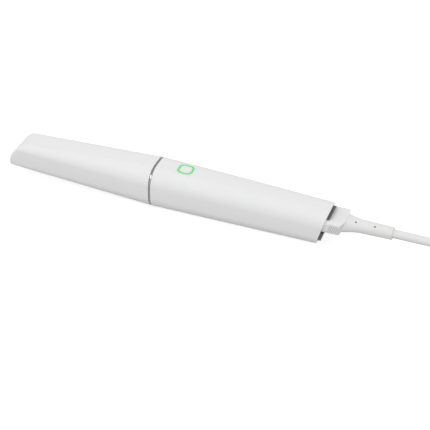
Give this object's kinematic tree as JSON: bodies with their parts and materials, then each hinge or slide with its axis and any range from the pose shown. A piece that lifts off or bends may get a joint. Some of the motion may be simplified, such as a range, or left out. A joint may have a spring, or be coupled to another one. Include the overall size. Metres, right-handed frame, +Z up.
{
  "type": "intraoral scanner",
  "caption": "Slim white hand wand with a pull-off hollow scanning tip, a mirror over a window below, a lit push button, and a plug-in lead folded in a hank behind it.",
  "frame": {"origin": "under the middle of the wand, on the plane of its flat belly", "axes": "+X from the scanning tip to the lead, +Z up through the button"},
  "size_m": [0.4758, 0.0566, 0.0322],
  "materials": {
    "tip_white": "fine satin moulding",
    "mirror_glass": "polished",
    "ring_chrome": "polished",
    "shell_white": "semi-gloss moulding",
    "light_green": "clear light guide",
    "button_white": "semi-gloss moulding",
    "switch_black": "moulded",
    "stem_white": "moulded",
    "board_green": "solder mask",
    "screw_steel": "machined",
    "snout_black": "matt",
    "clear_glass": "coated",
    "seal_rubber": "moulded",
    "frame_metal": "bead blasted",
    "block_black": "black anodised",
    "barrel_black": "black anodised",
    "strap_copper": "plain copper",
    "cap_grey": "satin moulding",
    "plug_white": "satin moulding",
    "boot_white": "soft moulding",
    "cord_white": "satin jacket",
    "tie_grey": "hook and loop",
    "usb_steel": "pressed",
    "tongue_blue": "moulded"
  },
  "bodies": {
    "handle": {"handle_shell": "shell_white", "trim_ring": "ring_chrome", "light_ring": "light_green", "key_board": "board_green", "key_screws": "screw_steel", "key_switch": "switch_black", "optics_snout": "snout_black", "nose_glass": "clear_glass", "nose_seal": "seal_rubber", "chassis": "frame_metal", "chassis_screws": "screw_steel", "optics_block": "block_black", "projector_barrel": "barrel_black", "projector_lens": "clear_glass", "camera_barrel": "barrel_black", "camera_lens": "clear_glass", "projector_engine": "block_black", "heat_strap": "strap_copper", "heat_sink": "frame_metal", "camera_board": "board_green", "main_board": "board_green", "rear_cap": "cap_grey", "cable_socket": "switch_black"},
    "tip": {"scan_tip": "tip_white", "tip_mirror": "mirror_glass"},
    "button": {"button_cap": "button_white", "switch_stem": "stem_white"},
    "lead": {"cable_plug": "plug_white", "plug_insert": "screw_steel", "strain_relief": "boot_white", "cable": "cord_white", "cable_coil": "cord_white", "coil_tie": "tie_grey", "cable_tail": "cord_white", "usb_grip": "plug_white", "usb_shell": "usb_steel", "usb_tongue": "tongue_blue"}
  },
  "joints": [
    {"name": "tip_slide", "type": "slide", "parent": "handle", "child": "tip", "axis": [-1, 0, 0], "range_m": [0, 0.075]},
    {"name": "button_press", "type": "slide", "parent": "handle", "child": "button", "axis": [0, 0, -1], "range_m": [0, 0.0008], "stiffness_N_per_m": 900},
    {"name": "plug_pull", "type": "slide", "parent": "handle", "child": "lead", "axis": [1, 0, 0], "range_m": [0, 0.015]}
  ]
}
